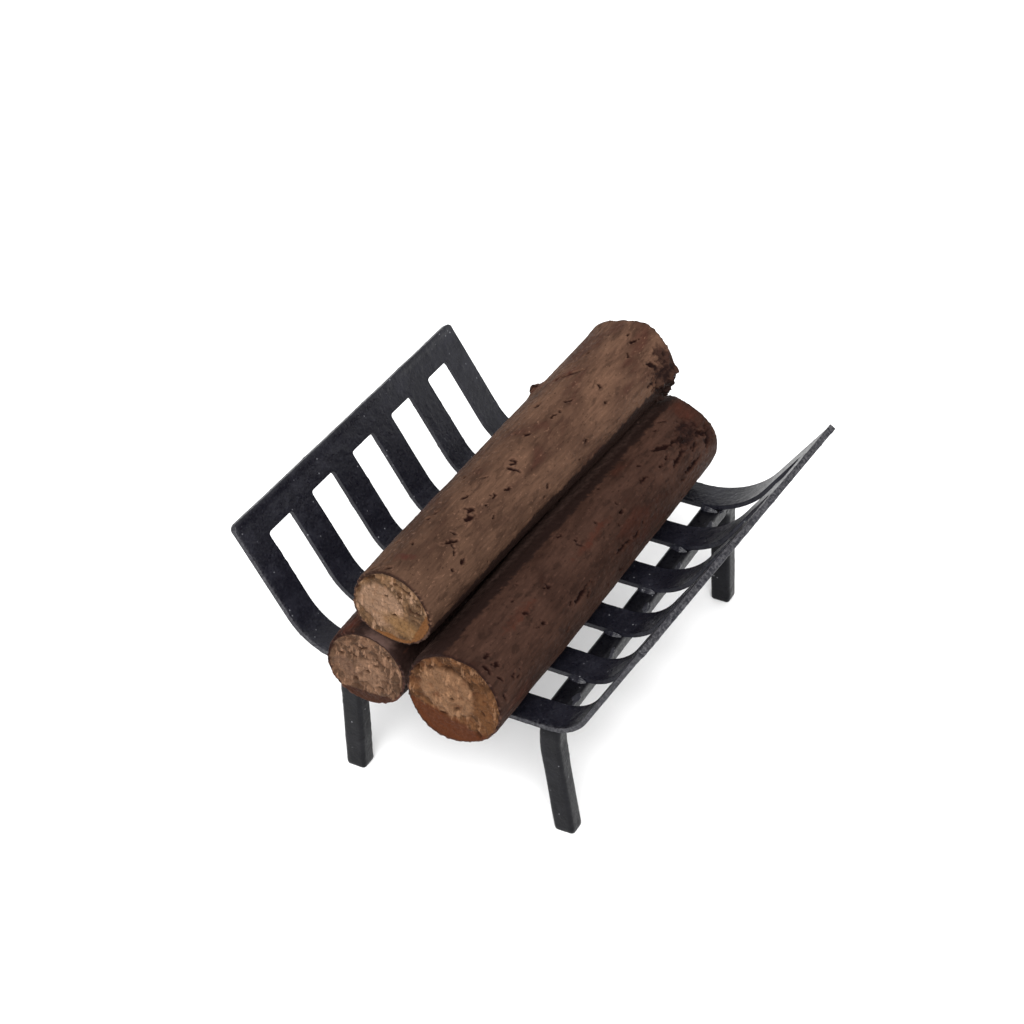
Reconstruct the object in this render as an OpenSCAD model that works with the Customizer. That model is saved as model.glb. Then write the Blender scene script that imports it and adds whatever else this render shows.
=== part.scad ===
// Doll's-house fire grate with three logs, one-twelfth scale, in millimetres.
//
// X runs along the grate, -Y is the hearth side (front) and +Z is up. A sheet
// basket with five slots is folded up along both long sides and left open at
// both ends. Two bent bars cross under it and turn down to make the four legs.
// Three loose logs lie in the basket: two on the floor and one on top of them.
//
// Everything is laid out about the middle of the basket floor, with the feet
// at zero height, and set_down() then centres the whole part on the origin.

/* [Basket] */
// Length of the basket along X.
basket_length = 50; // [30:0.5:80]
// Number of flat bars the sheet is cut into.
bar_count = 6; // [3:1:10]
// Width of one flat bar.
bar_width = 4.2; // [1:0.1:8]
// Width of the uncut strip along the top of each side.
rail_width = 3.4; // [1:0.1:6]
// Thickness of the sheet.
sheet = 0.6; // [0.3:0.1:1.5]
// Height of the underside of the basket floor.
floor_height = 16.6; // [8:0.1:30]
// Rounding at the closed ends of the slots.
slot_round = 0.45; // [0.1:0.05:1]
// Rounding of the four outer corners of the basket.
corner_round = 0.9; // [0.1:0.1:2]

/* [Basket sides] */
// Distance from the middle to the front fold, measured on the underside.
front_fold = 16.6; // [10:0.1:25]
// Distance from the middle to the rear fold, measured on the underside.
rear_fold = 17.3; // [10:0.1:25]
// Length of the front side from its fold to its top edge.
front_reach = 16.7; // [8:0.1:25]
// Length of the rear side from its fold to its top edge.
rear_reach = 17.1; // [8:0.1:25]
// Slope of the front side above the floor, in degrees.
front_slope = 58.5; // [20:0.5:85]
// Slope of the rear side above the floor, in degrees.
rear_slope = 57; // [20:0.5:85]
// Inside radius of the front fold.
front_fold_round = 3.5; // [0.5:0.1:10]
// Inside radius of the rear fold, which is softer.
rear_fold_round = 8; // [0.5:0.1:12]

/* [Leg bars] */
// Thickness of the leg bar in the plane of its bends.
leg_thick = 2.1; // [1:0.1:4]
// Depth of the leg bar from front to back.
leg_deep = 2.4; // [1:0.1:4]
// Rounding of the long edges of the leg bar.
leg_edge = 0.35; // [0.1:0.05:0.8]
// Distance over the outsides of the two legs of one bar.
leg_span = 49.4; // [30:0.1:80]
// Outside radius where the bar turns down into a leg.
leg_bend = 3.1; // [2.2:0.1:6]
// Where the front bar crosses, in front of the middle.
front_bar_y = 12.5; // [5:0.1:18]
// Where the rear bar crosses, behind the middle.
rear_bar_y = 12.8; // [5:0.1:18]
// How far the front bar is soldered on off centre, along X.
front_bar_shift = 1.8; // [-4:0.1:4]
// How far the rear bar is soldered on off centre, along X.
rear_bar_shift = 0.8; // [-4:0.1:4]

/* [Bent front legs] */
// Height at which the front legs start to lean out.
knee_height = 13.0; // [4:0.1:14]
// Radius of the bend at the knee.
knee_round = 12; // [3:0.5:30]
// Lean of the front leg at the -X end, in degrees.
near_lean = 8.5; // [0.5:0.5:20]
// Lean of the front leg at the +X end, in degrees.
far_lean = 2; // [0.5:0.5:20]

/* [Solder] */
// Length of one run of solder along the leg bar, under a basket bar.
solder_length = 3; // [1:0.1:4]
// Size of the solder fillet on each side of the leg bar.
solder_size = 0.55; // [0.2:0.05:1]

/* [Logs] */
// Thickness of the bark on every log.
bark = 0.5; // [0.2:0.05:1]
// Play left between one log and the next, and under the lower logs.
play = 0.1; // [0.05:0.05:0.3]
// Radius of the front log at its -X end.
front_near_r = 5.95; // [3:0.05:8]
// Radius of the front log at its +X end.
front_far_r = 5.8; // [3:0.05:8]
// Radius of the rear log at its -X end.
rear_near_r = 5.05; // [3:0.05:8]
// Radius of the rear log at its +X end.
rear_far_r = 6; // [3:0.05:8]
// Radius of the top log at its -X end.
top_near_r = 4.95; // [3:0.05:8]
// Radius of the top log at its +X end.
top_far_r = 5.85; // [3:0.05:8]

/* [Branch stub] */
// Radius of the cut-off branch on the top log.
stub_r = 0.8; // [0.4:0.1:2]
// How far the stub stands out of the bark.
stub_out = 0.8; // [0.2:0.1:3]
// Place of the stub along the top log, from its -X end.
stub_along = 39.3; // [5:0.1:50]
// Direction the stub points, in degrees above +Y.
stub_rise = 34; // [0:1:90]

/* [Show] */
// Which node to build, or "all" for the whole part.

/* [Hidden] */
$fn = 48;
// Slack past a face, so that a cut goes clean through it.
over = 1;
// Metal drawn thinner on each face where it is bent, and how far a straight
// length laps over the end of the bend next to it.
thin = 0.02;
lap = 0.2;
slot_width = (basket_length - bar_count * bar_width) / (bar_count - 1);
slot_pitch = bar_width + slot_width;
floor_top = floor_height + sheet;
log_floor = floor_top + play;
// Logs reach past the basket by different lengths, more so at the -X end.
front_near = [-31.68, -5.7, log_floor + front_near_r];
front_far = [25.47, -5.7, log_floor + front_far_r];
rear_near = [-30.61, 5.9, log_floor + rear_near_r];
rear_far = [26.1, 6.4, log_floor + rear_far_r];
top_near = [-30.37, 2.25, 31.8];
top_far = [24.37, 0, 33.4];
// The outermost points of the whole part, which set_down() brings to centre.
near_edge = front_near[0];
far_edge = front_bar_shift + leg_span / 2;
front_edge = front_fold + front_reach * cos(front_slope);
rear_edge = rear_fold + rear_reach * cos(rear_slope);
centre = [-(near_edge + far_edge) / 2, (front_edge - rear_edge) / 2, 0];

PAINT = [0.16, 0.18, 0.22];
SOLDER = [0.35, 0.36, 0.38];
BARK = [0.36, 0.21, 0.13];
WOOD = [0.76, 0.57, 0.38];

module set_down() {
    translate(centre) children();
}

// ---- Basket ----

module each_bar() {
    for (i = [0 : bar_count - 1])
        translate([i * slot_pitch - basket_length / 2, 0, 0]) children();
}

// A rectangle with its two upper corners rounded, hanging down from Y = 0.
module hanging(width, depth, round) {
    translate([0, -depth]) square([width, depth - round]);
    translate([round, -2 * round]) square([width - 2 * round, 2 * round]);
    for (x = [round, width - round])
        translate([x, -round]) circle(r = round);
}

// The flat part of one side, hanging from its top edge: a rail with rounded
// ends, and the bars below it.
module side_outline(depth) {
    difference() {
        hanging(basket_length, depth, corner_round);
        for (i = [0 : bar_count - 2])
            translate([bar_width + i * slot_pitch, -rail_width])
                hanging(slot_width, depth, slot_round);
    }
}

// How far from its fold a bend of this radius begins.
function bend_start(slope, fold_round) = (fold_round + sheet) * tan(slope / 2);

// One side with the bends of its bars. The fold line of the underside lies on
// the X axis, and the floor meets it from -Y.
module folded_side(slope, fold_round, reach) {
    start = bend_start(slope, fold_round);
    each_bar()
        translate([0, -start, fold_round + sheet])
            rotate([0, 90, 0])
                rotate_extrude(angle = slope)
                    translate([fold_round + thin, thin])
                        square([sheet - 2 * thin, bar_width - 2 * thin]);
    rotate([slope, 0, 0])
        translate([-basket_length / 2, reach, 0])
            linear_extrude(sheet) side_outline(reach - start + lap);
}

// The level bars of the floor, from one bend to the other.
module floor_bars() {
    front_start = bend_start(front_slope, front_fold_round);
    rear_start = bend_start(rear_slope, rear_fold_round);
    flat = front_fold + rear_fold - front_start - rear_start;
    each_bar()
        translate([0, front_start - front_fold - lap, 0])
            cube([bar_width, flat + 2 * lap, sheet]);
}

module basket() {
    color(PAINT)
        set_down()
            translate([0, 0, floor_height]) {
                floor_bars();
                translate([0, rear_fold, 0])
                    folded_side(rear_slope, rear_fold_round, rear_reach);
                translate([0, -front_fold, 0])
                    mirror([0, 1, 0])
                        folded_side(front_slope, front_fold_round, front_reach);
            }
}

// ---- Leg bars ----

// Section of a leg bar, with its thickness on X and its depth on Y.
module bar_section(trim = 0) {
    thick = leg_thick - 2 * trim;
    deep = leg_deep - 2 * trim;
    square([thick, deep - 2 * leg_edge], center = true);
    square([thick - 2 * leg_edge, deep], center = true);
    for (x = [-1, 1], y = [-1, 1])
        translate([x * (thick / 2 - leg_edge), y * (deep / 2 - leg_edge)])
            circle(r = leg_edge);
}

// The level part of a leg bar, with its top face at zero height.
module strap() {
    translate([0, 0, -leg_thick / 2])
        rotate([0, 90, 0])
            linear_extrude(leg_span - 2 * leg_bend, center = true) bar_section();
}

// The quarter turn from the strap down into the leg at the +X end.
module turn_down() {
    translate([leg_span / 2 - leg_bend, 0, -leg_bend])
        rotate([90, 0, 0])
            rotate_extrude(angle = 90)
                translate([leg_bend - leg_thick / 2, 0]) bar_section();
}

// A leg from under the turn, straight down to the height given.
module upright(bottom) {
    top = floor_height - leg_bend;
    translate([0, 0, bottom]) linear_extrude(top - bottom) bar_section();
}

// The knee and the leaning part below it, leaning towards -Y and cut at the foot.
module leaning_leg(lean) {
    length = (knee_height - knee_round * sin(lean)) / cos(lean) + over;
    difference() {
        translate([0, -knee_round, knee_height]) {
            rotate([-90, 0, 90])
                rotate_extrude(angle = lean)
                    translate([knee_round, 0]) rotate(90) bar_section(thin);
            rotate([-lean, 0, 0])
                translate([0, knee_round, -length])
                    linear_extrude(length + lap) bar_section();
        }
        translate([-5, -10, -5]) cube([10, 20, 5]);
    }
}

// Strap and both turns, at their height above the feet.
module bar_top() {
    translate([0, 0, floor_height]) {
        strap();
        turn_down();
        mirror([1, 0, 0]) turn_down();
    }
}

module at_legs(side) {
    translate([side * (leg_span - leg_thick) / 2, 0, 0]) children();
}

module front_bar_place() {
    set_down() translate([front_bar_shift, -front_bar_y, 0]) children();
}

module rear_bar_place() {
    set_down() translate([rear_bar_shift, rear_bar_y, 0]) children();
}

module front_leg_bar() {
    color(PAINT)
        front_bar_place() {
            bar_top();
            for (side = [-1, 1])
                at_legs(side) {
                    upright(knee_height - lap);
                    leaning_leg(side < 0 ? near_lean : far_lean);
                }
        }
}

module rear_leg_bar() {
    color(PAINT)
        rear_bar_place() {
            bar_top();
            for (side = [-1, 1])
                at_legs(side) upright(0);
        }
}

// ---- Solder ----

// Hollow fillets in both corners between one basket bar and the leg bar.
module solder_joint() {
    wide = leg_deep + 2 * solder_size;
    difference() {
        translate([-solder_length / 2, -wide / 2, -solder_size])
            cube([solder_length, wide, solder_size]);
        strap();
        for (y = [-1, 1])
            translate([0, y * wide / 2, -solder_size])
                rotate([0, 90, 0])
                    cylinder(r = solder_size * 0.85, h = solder_length + over, center = true);
    }
}

// A joint under every basket bar; the leg bar's own shift is taken back off.
module solder_row(shift) {
    for (i = [0 : bar_count - 1])
        translate([(i - (bar_count - 1) / 2) * slot_pitch - shift, 0, floor_height])
            intersection() {
                solder_joint();
                translate([shift - (i - (bar_count - 1) / 2) * slot_pitch, 0, 0])
                    cube([leg_span - 2 * leg_bend, 2 * leg_deep, 2 * leg_thick], center = true);
            }
}

module front_leg_solder() {
    color(SOLDER) front_bar_place() solder_row(front_bar_shift);
}

module rear_leg_solder() {
    color(SOLDER) rear_bar_place() solder_row(rear_bar_shift);
}

// ---- Logs ----

// Stands its children up along the line from one end of a log to the other.
module along_log(near, far) {
    way = far - near;
    translate(near)
        rotate([0, acos(way[2] / norm(way)), atan2(way[1], way[0])]) children();
}

module log_core(near, far, near_r, far_r) {
    along_log(near, far)
        cylinder(r1 = near_r - bark, r2 = far_r - bark, h = norm(far - near));
}

// Bark all round the core, open at both sawn ends.
module log_sleeve(near, far, near_r, far_r) {
    length = norm(far - near);
    flare = (far_r - near_r) * over / length;
    difference() {
        along_log(near, far) cylinder(r1 = near_r, r2 = far_r, h = length);
        along_log(near, far)
            translate([0, 0, -over])
                cylinder(
                    r1 = near_r - bark - flare,
                    r2 = far_r - bark + flare,
                    h = length + 2 * over
                );
    }
}

// Radius of the bark of the top log where its branch stub is.
stub_at_r = top_near_r + (top_far_r - top_near_r) * stub_along / norm(top_far - top_near);
stub_at = top_near + (top_far - top_near) * stub_along / norm(top_far - top_near);

module stub() {
    translate(stub_at)
        rotate([stub_rise - 90, 0, 0]) cylinder(r = stub_r, h = stub_at_r + stub_out);
}

module front_log_wood() {
    color(WOOD) set_down() log_core(front_near, front_far, front_near_r, front_far_r);
}

module front_log_bark() {
    color(BARK) set_down() log_sleeve(front_near, front_far, front_near_r, front_far_r);
}

module rear_log_wood() {
    color(WOOD) set_down() log_core(rear_near, rear_far, rear_near_r, rear_far_r);
}

module rear_log_bark() {
    color(BARK) set_down() log_sleeve(rear_near, rear_far, rear_near_r, rear_far_r);
}

// Core of the top log, with the stub of a branch growing out of it.
module top_log_wood() {
    color(WOOD)
        set_down() {
            log_core(top_near, top_far, top_near_r, top_far_r);
            stub();
        }
}

module top_log_bark() {
    color(BARK)
        set_down()
            difference() {
                log_sleeve(top_near, top_far, top_near_r, top_far_r);
                stub();
            }
}

basket();
front_leg_bar();
rear_leg_bar();
front_leg_solder();
rear_leg_solder();
front_log_wood();
front_log_bark();
rear_log_wood();
rear_log_bark();
top_log_wood();
top_log_bark();
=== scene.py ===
"""Looks for the dolls' house fire grate and its three logs.

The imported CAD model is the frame: every log's axis and taper and the boxes of
the basket and the leg bars are read from it. Mesh code then gives each piece
its real surface: bark with pits, cracks and snipped ends, a folded sheet with
softened edges, bent square bars, and solder in the corners. Lengths here are
in millimetres until a mesh is made.
"""

import math

import bmesh
import bpy
import numpy as np
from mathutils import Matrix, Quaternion, Vector, noise


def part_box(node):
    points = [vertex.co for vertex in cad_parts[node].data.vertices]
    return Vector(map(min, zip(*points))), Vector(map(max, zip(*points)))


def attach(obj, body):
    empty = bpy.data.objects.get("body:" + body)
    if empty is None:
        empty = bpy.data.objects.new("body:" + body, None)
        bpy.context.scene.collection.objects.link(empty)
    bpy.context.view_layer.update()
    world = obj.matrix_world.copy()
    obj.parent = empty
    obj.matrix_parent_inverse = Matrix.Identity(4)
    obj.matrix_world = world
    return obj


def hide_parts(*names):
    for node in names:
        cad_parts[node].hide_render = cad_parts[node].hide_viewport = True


MM = 0.001
UP = np.array([0.0, 0.0, 1.0])
BACK = np.array([0.0, 1.0, 0.0])

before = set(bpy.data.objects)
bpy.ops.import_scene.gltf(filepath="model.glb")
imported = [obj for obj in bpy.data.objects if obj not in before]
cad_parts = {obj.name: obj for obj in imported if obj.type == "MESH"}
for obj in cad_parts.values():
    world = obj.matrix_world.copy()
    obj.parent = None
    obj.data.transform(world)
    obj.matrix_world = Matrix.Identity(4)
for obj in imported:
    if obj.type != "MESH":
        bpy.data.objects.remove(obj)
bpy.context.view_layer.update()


# ---- Small tools ----


def box_mm(node):
    """Lowest and highest corners of a CAD node, in mm."""
    low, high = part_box(node)
    return np.array(low) / MM, np.array(high) / MM


def unit(v):
    return v / np.linalg.norm(v)


def lumps(points, size, seed, octaves=3):
    """Smooth noise from about -1 to 1; size is its lump size in mm, one number or one per axis."""
    shift = Vector((13.7, 7.3, 3.1)) * seed
    scaled = points / np.asarray(size, float)
    return np.array([noise.fractal(Vector(p) + shift, 1.0, 2.0, octaves) for p in scaled])


def smooth(low, high, value):
    """0 below low, 1 above high, and a smooth rise between them."""
    t = np.clip((value - low) / (high - low), 0, 1)
    return t * t * (3 - 2 * t)


def add_piece(name, points, faces, fields=None):
    """A mesh object from points in mm, with a float attribute per named field."""
    mesh = bpy.data.meshes.new(name)
    mesh.from_pydata((np.asarray(points) * MM).tolist(), [], faces)
    bm = bmesh.new()
    bm.from_mesh(mesh)
    bmesh.ops.recalc_face_normals(bm, faces=bm.faces)
    bm.to_mesh(mesh)
    bm.free()
    for field, values in (fields or {}).items():
        layer = mesh.attributes.new(field, "FLOAT", "POINT")
        layer.data.foreach_set("value", np.asarray(values, np.float32))
    mesh.polygons.foreach_set("use_smooth", [True] * len(mesh.polygons))
    mesh.set_sharp_from_angle(angle=math.radians(50))
    piece = bpy.data.objects.new(name, mesh)
    bpy.context.scene.collection.objects.link(piece)
    return piece


def ring_faces(rings, around, closed=False):
    """Quads between neighbouring rings; closed also joins the last ring to the first."""
    last = rings if closed else rings - 1
    faces = []
    for i in range(last):
        a, b = i * around, (i + 1) % rings * around
        for j in range(around):
            k = (j + 1) % around
            faces.append((a + j, a + k, b + k, b + j))
    return faces


def capped_faces(rings, around):
    """Quads between rings, with a flat cap on the first ring and on the last."""
    faces = ring_faces(rings, around)
    faces.append(tuple(range(around)))
    faces.append(tuple(range((rings - 1) * around, rings * around)))
    return faces


def full_turn(around):
    """Even angles once round."""
    return np.arange(around) * 2 * math.pi / around


def ring_grid(shares, angles):
    """Every share with every angle, ring by ring, as two flat arrays."""
    share, angle = np.meshgrid(shares, angles, indexing="ij")
    return share.ravel(), angle.ravel()


def finish_piece(piece, body, slot, material, *nodes):
    piece.data.materials.append(material)
    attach(piece, body)
    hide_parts(*nodes)


# ---- Material tools ----


class Nodes:
    """A new material's node tree, with short calls for the nodes used here."""

    def __init__(self, name):
        self.material = bpy.data.materials.new(name)
        self.material.use_nodes = True
        self.tree = self.material.node_tree
        self.shader = self.tree.nodes["Principled BSDF"]
        self.coords = self.tree.nodes.new("ShaderNodeTexCoord").outputs["Object"]

    def put(self, socket, value):
        if isinstance(value, bpy.types.NodeSocket):
            self.tree.links.new(value, socket)
        else:
            socket.default_value = value

    def noise(self, size, detail=3.0, roughness=0.55, distortion=0.0):
        """Noise with lumps of this size in mm, one number or one per axis."""
        size = np.broadcast_to(np.asarray(size, float), 3)
        mapping = self.tree.nodes.new("ShaderNodeMapping")
        mapping.inputs["Scale"].default_value = tuple(1 / (s * MM) for s in size)
        self.put(mapping.inputs["Vector"], self.coords)
        node = self.tree.nodes.new("ShaderNodeTexNoise")
        node.inputs["Scale"].default_value = 1.0
        node.inputs["Detail"].default_value = detail
        node.inputs["Roughness"].default_value = roughness
        node.inputs["Distortion"].default_value = distortion
        self.put(node.inputs["Vector"], mapping.outputs["Vector"])
        return node.outputs["Fac"]

    def cells(self, size):
        """Distance to the nearest of scattered points, about size mm apart."""
        node = self.tree.nodes.new("ShaderNodeTexVoronoi")
        node.inputs["Scale"].default_value = 1 / (size * MM)
        self.put(node.inputs["Vector"], self.coords)
        return node.outputs["Distance"]

    def field(self, name):
        node = self.tree.nodes.new("ShaderNodeAttribute")
        node.attribute_name = name
        return node.outputs["Fac"]

    def along(self):
        """Place along the grate's long axis."""
        node = self.tree.nodes.new("ShaderNodeSeparateXYZ")
        self.put(node.inputs["Vector"], self.coords)
        return node.outputs["X"]

    def step(self, value, low, high, out_low=0.0, out_high=1.0):
        """Value taken smoothly from out_low to out_high between low and high."""
        node = self.tree.nodes.new("ShaderNodeMapRange")
        node.interpolation_type = "SMOOTHSTEP"
        limits = {"From Min": low, "From Max": high, "To Min": out_low, "To Max": out_high}
        for name, number in limits.items():
            node.inputs[name].default_value = number
        self.put(node.inputs["Value"], value)
        return node.outputs["Result"]

    def math(self, operation, a, b):
        node = self.tree.nodes.new("ShaderNodeMath")
        node.operation = operation
        self.put(node.inputs[0], a)
        self.put(node.inputs[1], b)
        return node.outputs["Value"]

    def mix(self, factor, a, b, blend="MIX"):
        node = self.tree.nodes.new("ShaderNodeMix")
        node.data_type = "RGBA"
        node.blend_type = blend
        self.put(node.inputs[0], factor)
        self.put(node.inputs[6], a)
        self.put(node.inputs[7], b)
        return node.outputs[2]

    def bump(self, height, depth, strength=1.0, under=None):
        """Bump whose full height stands for depth in mm."""
        node = self.tree.nodes.new("ShaderNodeBump")
        node.inputs["Strength"].default_value = strength
        node.inputs["Distance"].default_value = depth * MM
        self.put(node.inputs["Height"], height)
        if under is not None:
            self.put(node.inputs["Normal"], under)
        return node.outputs["Normal"]

    def surface(self, base, shine, roughness, normal):
        """Sets what the shader needs, and gives back the finished material."""
        self.put(self.shader.inputs["Base Color"], base)
        self.put(self.shader.inputs["Specular IOR Level"], shine)
        self.put(self.shader.inputs["Roughness"], roughness)
        self.put(self.shader.inputs["Normal"], normal)
        return self.material


def colour(tone, strength=1.0):
    """A shader colour from a (red, green, blue) tone, darkened or lightened by strength."""
    return (*[strength * c for c in tone], 1.0)


# ---- Materials ----

BARK_PIT = (0.007, 0.002, 0.0015)
# Painted shade with dark glue, for the seam where one log lies on another.
SEAM_SHADE_AND_GLUE = (0.012, 0.0065, 0.0055)
# Painted light with pale glue, lifting the seam's shade right where two logs touch.
CONTACT_GLUE_AND_PAINTED_LIGHT = (0.060, 0.036, 0.030)
WOOD_RIM = (0.018, 0.007, 0.004)
WOOD_PIT = (0.024, 0.009, 0.004)
PAINT_SPECK = (0.30, 0.30, 0.32)
TONE_REACH = 28  # mm to each side of the middle over which a bark's tone changes


def bark_material(name, light, dark, stained, tones):
    """Thin twig bark: patchy brown, fine lengthwise grain, dark pits with pale lips, stains, and
    painted shade with glue in the seams between logs, lifted by painted light where they touch.
    """
    n = Nodes(name)
    patches = n.noise((11, 5, 5), detail=3, distortion=0.5)
    mottle = n.noise((2.4, 0.9, 0.9), detail=4, roughness=0.6, distortion=0.3)
    grain = n.noise((4, 0.35, 0.35), detail=5, roughness=0.65)
    flecks = n.noise((0.6, 0.3, 0.3), detail=3)
    skin = n.mix(n.step(patches, 0.36, 0.60), colour(dark), colour(light))
    skin = n.mix(1.0, skin, n.step(n.along(), -TONE_REACH * MM, TONE_REACH * MM, *tones), "MULTIPLY")
    skin = n.mix(n.step(mottle, 0.53, 0.64, 0.0, 0.5), skin, colour(dark, 0.55))
    skin = n.mix(n.step(mottle, 0.42, 0.28, 0.0, 0.45), skin, colour(light, 1.45))
    skin = n.mix(n.step(patches, 0.44, 0.30, 0.0, 0.5), skin, colour(stained))
    skin = n.mix(1.0, skin, n.step(grain, 0.3, 0.7, 1.14, 0.82), "MULTIPLY")
    skin = n.mix(n.step(flecks, 0.64, 0.70, 0.0, 0.6), skin, colour(dark, 0.35))
    skin = n.mix(n.step(flecks, 0.37, 0.31, 0.0, 0.5), skin, colour(light, 1.7))
    skin = n.mix(n.math("MULTIPLY", n.field("lip"), 0.6), skin, colour(light, 1.9))
    warmth = n.math("MULTIPLY", n.field("warm"), n.step(mottle, 0.35, 0.6, 0.9, 0.3))
    skin = n.mix(warmth, skin, colour(stained))
    skin = n.mix(n.field("pit"), skin, colour(BARK_PIT))
    # The seams between logs: painted shade with glue, turned lighter right at the contact line by
    # painted light.
    shade_glue_and_tears = n.mix(n.field("contact_glue_and_light"), colour(SEAM_SHADE_AND_GLUE), colour(CONTACT_GLUE_AND_PAINTED_LIGHT))
    skin = n.mix(n.field("shade_glue_and_tears"), skin, shade_glue_and_tears)
    roughness = n.step(flecks, 0.3, 0.7, 0.48, 0.75)
    coarse = n.bump(grain, 0.10, 0.7)
    return n.surface(skin, 0.03, roughness, n.bump(flecks, 0.05, 0.7, coarse))


def cut_wood_material(name, pale, tan, facet, amber):
    """Snipped end grain: torn fibres, brown stains and a smoother, darker second cut."""
    n = Nodes(name)
    fibres = n.noise(0.4, detail=5, roughness=0.7)
    streaks = n.noise((1, 0.5, 2.2), detail=4, roughness=0.6, distortion=0.4)
    patches = n.noise(1.5, detail=4, roughness=0.6, distortion=0.8)
    wood = n.mix(n.step(patches, 0.42, 0.56), colour(tan), colour(tan, 0.5))
    wood = n.mix(n.math("MULTIPLY", n.field("heart"), 0.8), wood, colour(pale))
    wood = n.mix(n.step(streaks, 0.46, 0.38, 0.0, 0.55), wood, colour(pale, 1.75))
    wood = n.mix(n.math("MULTIPLY", n.field("amber"), 0.85), wood, colour(amber))
    wood = n.mix(n.math("MULTIPLY", n.field("ring"), 0.6), wood, colour(tan, 0.45))
    wood = n.mix(n.math("MULTIPLY", n.field("facet"), 0.92), wood, colour(facet))
    wood = n.mix(1.0, wood, n.step(fibres, 0.35, 0.65, 1.1, 0.84), "MULTIPLY")
    wood = n.mix(n.field("rim"), wood, colour(WOOD_RIM))
    wood = n.mix(n.field("pit"), wood, colour(WOOD_PIT))
    roughness = n.step(fibres, 0.3, 0.7, 0.5, 0.75)
    return n.surface(wood, 0.05, roughness, n.bump(fibres, 0.15, 0.8))


def paint_material(name, dark, light, rubbed_and_highlight, shine, relief):
    """Brushed-on blue-black paint over rough metal, a little lighter where it is rubbed, and painted
    highlight along some edges.
    """
    n = Nodes(name)
    clouds = n.noise(3.0, detail=5, roughness=0.65)
    grit = n.noise(0.3, detail=4, roughness=0.65)
    paint = n.mix(n.step(clouds, 0.42, 0.68), colour(dark), colour(light))
    paint = n.mix(n.step(grit, 0.52, 0.72, 0.0, 0.6), paint, colour(light, 1.9))
    # Lighter edges: partly rubbed wear, partly painted highlight.
    scuff_and_highlight = n.math("MULTIPLY", n.field("edge"), n.step(grit, 0.4, 0.66, 0.0, 0.9))
    paint = n.mix(scuff_and_highlight, paint, colour(rubbed_and_highlight))
    dots = n.step(n.cells(1.0), 0.05, 0.12, 1.0, 0.0)
    specks = n.math("MULTIPLY", dots, n.step(clouds, 0.47, 0.58))
    paint = n.mix(n.math("MULTIPLY", specks, 0.6), paint, colour(PAINT_SPECK))
    roughness = n.step(grit, 0.3, 0.7, 0.26, 0.5)
    pebbles = n.bump(n.noise(0.6, detail=2), relief, 0.7)
    return n.surface(paint, shine, roughness, n.bump(grit, 0.03, 0.6, pebbles))


# ---- Logs ----

BARK_PITCH = 0.18  # spacing of the bark's grid
BARK_THICK = 0.3
BARK_SUNK = 0.1  # how far plain bark lies below the CAD log's surface
NECK = 2.2  # where a log is plain again, behind its swollen ends
LINING_NECK, WOOD_NECK = 0.12, 0.2  # how far below the bark's thickness the necks lie
PIT_DEEP, LIP_HIGH, SCAR_HIGH = 0.28, 0.07, 0.05
TORN_DEEP, TORN_ROUGH = 0.10, 0.75  # how far torn bark sinks, and how far its crumbs vary


class Log:
    """A log's axis and taper, read from its CAD bark, and places on it."""

    def __init__(self, body):
        self.body = body
        points = np.array([v.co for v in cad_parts[body + "_bark"].data.vertices]) / MM
        self.near, self.near_r = self.end(points, points[:, 0].min())
        far, self.far_r = self.end(points, points[:, 0].max())
        self.length = np.linalg.norm(far - self.near)
        self.axis = unit(far - self.near)
        self.side = unit(BACK - self.axis * (BACK @ self.axis))
        self.top = np.cross(self.axis, self.side)

    @staticmethod
    def end(points, x):
        """Centre and radius of the sawn end at this x."""
        rim = points[abs(points[:, 0] - x) < 1.0]
        low, high = rim.min(axis=0), rim.max(axis=0)
        return (low + high) / 2, (high[2] - low[2]) / 2

    def radius(self, along):
        return self.near_r + (self.far_r - self.near_r) * along / self.length

    def place(self, along, angle, radius):
        """Points at a distance along the log, an angle from +Y towards +Z, and a radius."""
        out = self.side * np.cos(angle)[..., None] + self.top * np.sin(angle)[..., None]
        return self.near + self.axis * along[..., None] + out * radius[..., None]

    def neck(self, along, below, around):
        """A plain ring this far along the log and this far below its surface."""
        along = np.full(around, along)
        return self.place(along, full_turn(around), self.radius(along) - below)

    def gap_to(self, other, points):
        """How far points lie outside another log's bark."""
        rel = points - other.near
        along = np.clip(rel @ other.axis, 0, other.length)
        off = np.linalg.norm(rel - along[:, None] * other.axis, axis=1)
        return off - other.radius(along)


def cut_depth(y, z, facets):
    """How far the second cuts of an end fall back from the first, at a place on the end."""
    depth = np.zeros_like(y)
    for direction, start, tilt in facets:
        turn = math.radians(direction)
        past = y * math.cos(turn) + z * math.sin(turn) - start
        depth = np.maximum(depth, past * math.tan(math.radians(tilt)))
    return depth


def blot(a, b, long, wide, turn, ragged):
    """1 inside an oval mark and 0 outside, with a ragged outline; a and b run from its middle."""
    c, s = math.cos(math.radians(turn)), math.sin(math.radians(turn))
    along, across = a * c + b * s, b * c - a * s
    return smooth(1.3, 0.55, np.hypot(along / long, across / wide) + 0.55 * ragged)


def turn_from(angle, degrees):
    """Angles measured from one direction, up to half a turn either way."""
    return (angle - math.radians(degrees) + math.pi) % (2 * math.pi) - math.pi


def bark_marks(log, along, angle, marks, warp, ragged):
    """The deepest of the bark's marks at each place."""
    deep = np.zeros(len(along))
    for at, degrees, long, wide, turn in marks:
        a = along - at + 0.45 * warp[0]
        b = turn_from(angle, degrees) * log.radius(along) + 0.35 * warp[1]
        deep = np.maximum(deep, blot(a, b, long, wide, turn, ragged))
    return deep


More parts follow.
